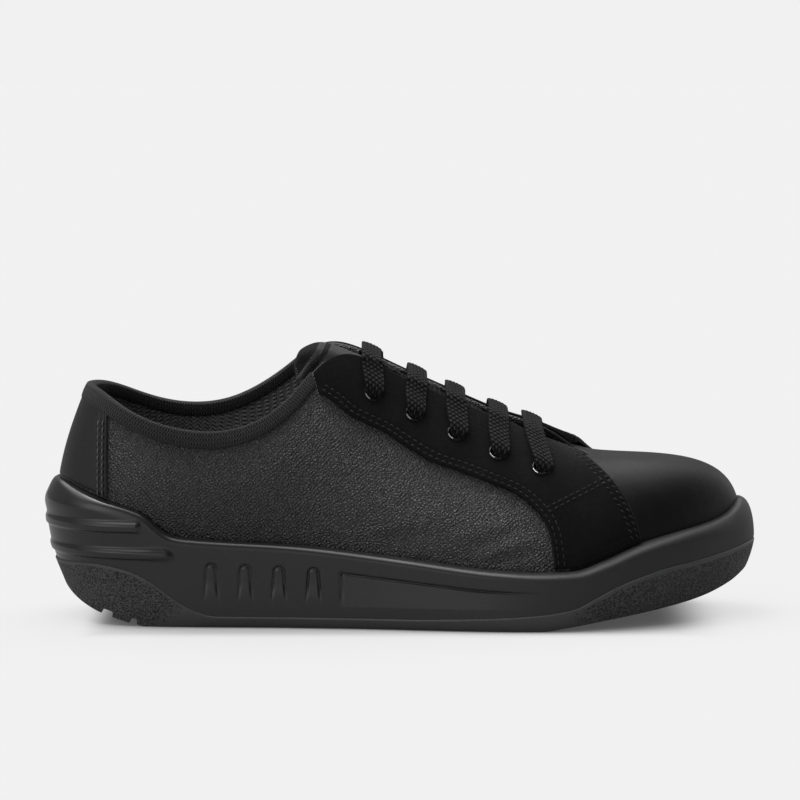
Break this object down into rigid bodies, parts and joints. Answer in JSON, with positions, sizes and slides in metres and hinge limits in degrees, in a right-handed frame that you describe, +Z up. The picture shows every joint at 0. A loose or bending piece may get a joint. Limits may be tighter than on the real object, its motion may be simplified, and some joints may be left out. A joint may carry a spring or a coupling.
{
  "type": "safety shoe",
  "caption": "Low lace-up safety shoe with a hollow leather upper, suede eyestays, padded tongue, flat lace and a moulded sole with a wrapped rubber tread.",
  "frame": {"origin": "middle of the shoe's bounding box, on the floor under the tread", "axes": "+X from heel to toe, +Z up, -Y towards the outer side of the right foot"},
  "size_m": [0.281, 0.1007, 0.108],
  "materials": {
    "rough_rubber": "matt, sandpaper-like",
    "moulded_sole": "smooth, satin",
    "footbed_fabric": "matt textile",
    "grained_leather": "pebbled, satin",
    "suede": "very dark matt nap",
    "smooth_leather": "smooth, satin",
    "ribbed_tape": "ribbed textile",
    "tongue_fabric": "grey fuzzy textile",
    "black_enamel": "glossy black enamel",
    "lace_weave": "flat woven lace"
  },
  "bodies": {
    "root": {"outsole": "rough_rubber", "midsole": "moulded_sole", "insole": "footbed_fabric", "upper": "grained_leather", "eyestay_outer": "suede", "eyestay_inner": "suede", "heel_counter": "smooth_leather", "collar_binding": "ribbed_tape", "tongue": "tongue_fabric", "eyelet_outer_1": "black_enamel", "eyelet_outer_2": "black_enamel", "eyelet_outer_3": "black_enamel", "eyelet_outer_4": "black_enamel", "eyelet_outer_5": "black_enamel", "eyelet_inner_1": "black_enamel", "eyelet_inner_2": "black_enamel", "eyelet_inner_3": "black_enamel", "eyelet_inner_4": "black_enamel", "eyelet_inner_5": "black_enamel", "lace_bar_1": "lace_weave", "lace_bar_2": "lace_weave", "lace_bar_3": "lace_weave", "lace_bar_4": "lace_weave", "lace_bar_5": "lace_weave", "lace_diagonal_1": "lace_weave", "lace_diagonal_2": "lace_weave", "lace_diagonal_3": "lace_weave", "lace_diagonal_4": "lace_weave"}
  },
  "joints": []
}
